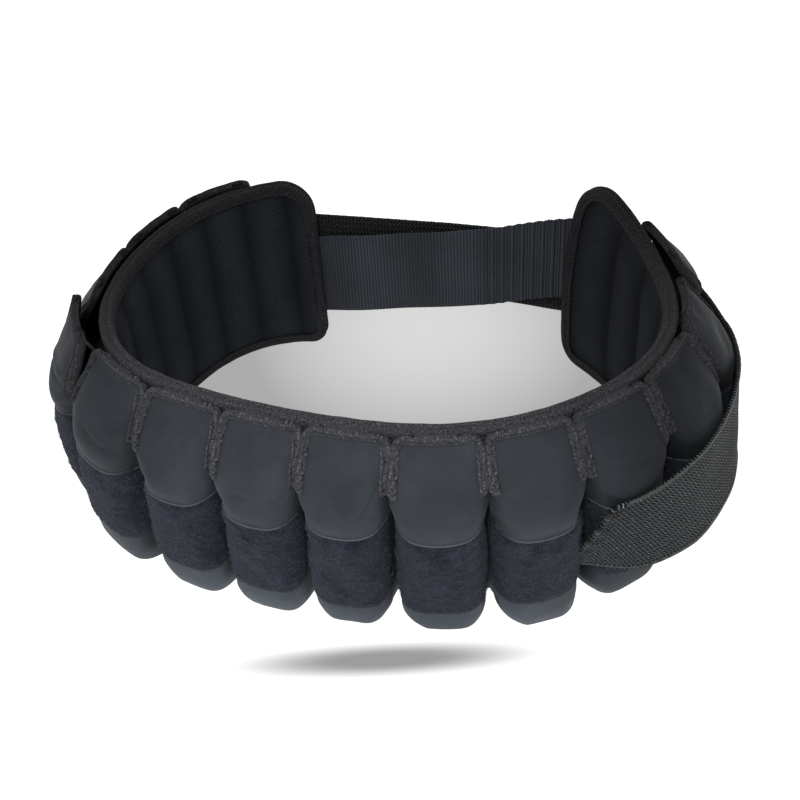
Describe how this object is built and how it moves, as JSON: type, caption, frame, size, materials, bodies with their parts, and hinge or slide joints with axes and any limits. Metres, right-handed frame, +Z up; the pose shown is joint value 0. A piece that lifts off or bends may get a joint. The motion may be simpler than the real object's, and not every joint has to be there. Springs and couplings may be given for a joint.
{
  "type": "dive weight belt",
  "caption": "Padded waist belt for diving weights: bound pouches with hinged hood flaps and loop patches, an elastic back and a wide webbing strap.",
  "frame": {"origin": "bottom centre of the belt's bounding box, standing on its pouch bottoms", "axes": "+Z up along the wearer's body, -Y towards the front pouches, +X towards the side where the strap's free end lies"},
  "size_m": [0.4836, 0.3568, 0.1682],
  "materials": {
    "band_fabric": "black padded nylon",
    "lining_mesh": "black spacer mesh",
    "binding_tape": "black grosgrain tape",
    "pouch_fabric": "smooth black neoprene-like cloth",
    "loop_pile": "fuzzy blue-black loop pile",
    "elastic_web": "ribbed black elastic",
    "webbing": "coarse herringbone webbing",
    "weight_block": "black vinyl coating over lead"
  },
  "bodies": {
    "belt": {"belt_band": "band_fabric", "inner_lining": "lining_mesh", "edge_binding": "binding_tape", "elastic_band": "elastic_web", "closure_strap": "webbing", "pouch_01": "pouch_fabric", "loop_patch_01": "loop_pile", "pouch_02": "pouch_fabric", "loop_patch_02": "loop_pile", "pouch_03": "pouch_fabric", "loop_patch_03": "loop_pile", "pouch_04": "pouch_fabric", "loop_patch_04": "loop_pile", "pouch_05": "pouch_fabric", "loop_patch_05": "loop_pile", "pouch_06": "pouch_fabric", "loop_patch_06": "loop_pile", "pouch_07": "pouch_fabric", "loop_patch_07": "loop_pile", "pouch_08": "pouch_fabric", "loop_patch_08": "loop_pile", "pouch_09": "pouch_fabric", "loop_patch_09": "loop_pile", "pouch_10": "pouch_fabric", "loop_patch_10": "loop_pile", "pouch_11": "pouch_fabric", "loop_patch_11": "loop_pile", "pouch_12": "pouch_fabric", "loop_patch_12": "loop_pile", "pouch_13": "pouch_fabric", "loop_patch_13": "loop_pile", "pouch_14": "pouch_fabric", "loop_patch_14": "loop_pile"},
    "flap_01": {"flap_01": "pouch_fabric"},
    "flap_02": {"flap_02": "pouch_fabric"},
    "flap_03": {"flap_03": "pouch_fabric"},
    "flap_04": {"flap_04": "pouch_fabric"},
    "flap_05": {"flap_05": "pouch_fabric"},
    "flap_06": {"flap_06": "pouch_fabric"},
    "flap_07": {"flap_07": "pouch_fabric"},
    "flap_08": {"flap_08": "pouch_fabric"},
    "flap_09": {"flap_09": "pouch_fabric"},
    "flap_10": {"flap_10": "pouch_fabric"},
    "flap_11": {"flap_11": "pouch_fabric"},
    "flap_12": {"flap_12": "pouch_fabric"},
    "flap_13": {"flap_13": "pouch_fabric"},
    "flap_14": {"flap_14": "pouch_fabric"},
    "weight_01": {"weight_01": "weight_block"},
    "weight_02": {"weight_02": "weight_block"},
    "weight_03": {"weight_03": "weight_block"},
    "weight_05": {"weight_05": "weight_block"},
    "weight_06": {"weight_06": "weight_block"},
    "weight_07": {"weight_07": "weight_block"},
    "weight_08": {"weight_08": "weight_block"},
    "weight_09": {"weight_09": "weight_block"},
    "weight_10": {"weight_10": "weight_block"},
    "weight_11": {"weight_11": "weight_block"},
    "weight_12": {"weight_12": "weight_block"},
    "weight_13": {"weight_13": "weight_block"},
    "strap_tail": {"strap_tail": "webbing"}
  },
  "joints": [
    {"name": "flap_01_hinge", "type": "hinge", "parent": "belt", "child": "flap_01", "pos_m": [-0.15062, 0.1694, 0.0982], "axis": [-0.8689, -0.4949, 0], "range_deg": [0, 110]},
    {"name": "flap_02_hinge", "type": "hinge", "parent": "belt", "child": "flap_02", "pos_m": [-0.2036, 0.11955, 0.0982], "axis": [-0.5736, -0.8192, 0], "range_deg": [0, 110]},
    {"name": "flap_03_hinge", "type": "hinge", "parent": "belt", "child": "flap_03", "pos_m": [-0.23331, 0.05865, 0.0982], "axis": [-0.2924, -0.9563, 0], "range_deg": [0, 110]},
    {"name": "flap_04_hinge", "type": "hinge", "parent": "belt", "child": "flap_04", "pos_m": [-0.23969, -0.01427, 0.0982], "axis": [0.1564, -0.9877, 0], "range_deg": [-12, 98], "stiffness_Nm_per_rad": 0.06},
    {"name": "flap_05_hinge", "type": "hinge", "parent": "belt", "child": "flap_05", "pos_m": [-0.20529, -0.08479, 0.0982], "axis": [0.682, -0.7314, 0], "range_deg": [0, 110]},
    {"name": "flap_06_hinge", "type": "hinge", "parent": "belt", "child": "flap_06", "pos_m": [-0.14864, -0.12458, 0.0982], "axis": [0.8923, -0.4514, 0], "range_deg": [0, 110]},
    {"name": "flap_07_hinge", "type": "hinge", "parent": "belt", "child": "flap_07", "pos_m": [-0.09409, -0.14849, 0.0982], "axis": [0.9367, -0.3502, 0], "range_deg": [0, 110]},
    {"name": "flap_08_hinge", "type": "hinge", "parent": "belt", "child": "flap_08", "pos_m": [-0.03724, -0.16623, 0.0982], "axis": [0.9696, -0.2447, 0], "range_deg": [0, 110]},
    {"name": "flap_09_hinge", "type": "hinge", "parent": "belt", "child": "flap_09", "pos_m": [0.02518, -0.17631, 0.0982], "axis": [0.9989, -0.0465, 0], "range_deg": [0, 110]},
    {"name": "flap_10_hinge", "type": "hinge", "parent": "belt", "child": "flap_10", "pos_m": [0.09169, -0.16971, 0.0982], "axis": [0.9703, 0.2419, 0], "range_deg": [0, 110]},
    {"name": "flap_11_hinge", "type": "hinge", "parent": "belt", "child": "flap_11", "pos_m": [0.15351, -0.14431, 0.0982], "axis": [0.8601, 0.51, 0], "range_deg": [0, 110]},
    {"name": "flap_12_hinge", "type": "hinge", "parent": "belt", "child": "flap_12", "pos_m": [0.20705, -0.09682, 0.0982], "axis": [0.5842, 0.8116, 0], "range_deg": [0, 110]},
    {"name": "flap_13_hinge", "type": "hinge", "parent": "belt", "child": "flap_13", "pos_m": [0.23373, -0.02546, 0.0982], "axis": [0.0915, 0.9958, 0], "range_deg": [0, 110]},
    {"name": "flap_14_hinge", "type": "hinge", "parent": "belt", "child": "flap_14", "pos_m": [0.225, 0.04491, 0.10318], "axis": [-0.2982, 0.9545, 0], "range_deg": [-5, 80], "stiffness_Nm_per_rad": 0.06},
    {"name": "weight_01_slide", "type": "slide", "parent": "belt", "child": "weight_01", "axis": [0, 0, 1], "range_m": [0, 0.12]},
    {"name": "weight_02_slide", "type": "slide", "parent": "belt", "child": "weight_02", "axis": [0, 0, 1], "range_m": [0, 0.12]},
    {"name": "weight_03_slide", "type": "slide", "parent": "belt", "child": "weight_03", "axis": [0, 0, 1], "range_m": [0, 0.12]},
    {"name": "weight_05_slide", "type": "slide", "parent": "belt", "child": "weight_05", "axis": [0, 0, 1], "range_m": [0, 0.12]},
    {"name": "weight_06_slide", "type": "slide", "parent": "belt", "child": "weight_06", "axis": [0, 0, 1], "range_m": [0, 0.12]},
    {"name": "weight_07_slide", "type": "slide", "parent": "belt", "child": "weight_07", "axis": [0, 0, 1], "range_m": [0, 0.12]},
    {"name": "weight_08_slide", "type": "slide", "parent": "belt", "child": "weight_08", "axis": [0, 0, 1], "range_m": [0, 0.12]},
    {"name": "weight_09_slide", "type": "slide", "parent": "belt", "child": "weight_09", "axis": [0, 0, 1], "range_m": [0, 0.12]},
    {"name": "weight_10_slide", "type": "slide", "parent": "belt", "child": "weight_10", "axis": [0, 0, 1], "range_m": [0, 0.12]},
    {"name": "weight_11_slide", "type": "slide", "parent": "belt", "child": "weight_11", "axis": [0, 0, 1], "range_m": [0, 0.12]},
    {"name": "weight_12_slide", "type": "slide", "parent": "belt", "child": "weight_12", "axis": [0, 0, 1], "range_m": [0, 0.12]},
    {"name": "weight_13_slide", "type": "slide", "parent": "belt", "child": "weight_13", "axis": [0, 0, 1], "range_m": [0, 0.12]},
    {"name": "strap_tail_peel", "type": "hinge", "parent": "belt", "child": "strap_tail", "pos_m": [0.23881, 0.01242, 0], "axis": [0, 0, 1], "range_deg": [0, 70], "stiffness_Nm_per_rad": 0.02}
  ],
  "couplings": [
    {"joint": "flap_01_hinge", "follows": "weight_01_slide", "rad_per_m": 15.997},
    {"joint": "flap_02_hinge", "follows": "weight_02_slide", "rad_per_m": 15.997},
    {"joint": "flap_03_hinge", "follows": "weight_03_slide", "rad_per_m": 15.997},
    {"joint": "flap_05_hinge", "follows": "weight_05_slide", "rad_per_m": 15.997},
    {"joint": "flap_06_hinge", "follows": "weight_06_slide", "rad_per_m": 15.997},
    {"joint": "flap_07_hinge", "follows": "weight_07_slide", "rad_per_m": 15.997},
    {"joint": "flap_08_hinge", "follows": "weight_08_slide", "rad_per_m": 15.997},
    {"joint": "flap_09_hinge", "follows": "weight_09_slide", "rad_per_m": 15.997},
    {"joint": "flap_10_hinge", "follows": "weight_10_slide", "rad_per_m": 15.997},
    {"joint": "flap_11_hinge", "follows": "weight_11_slide", "rad_per_m": 15.997},
    {"joint": "flap_12_hinge", "follows": "weight_12_slide", "rad_per_m": 15.997},
    {"joint": "flap_13_hinge", "follows": "weight_13_slide", "rad_per_m": 15.997}
  ]
}
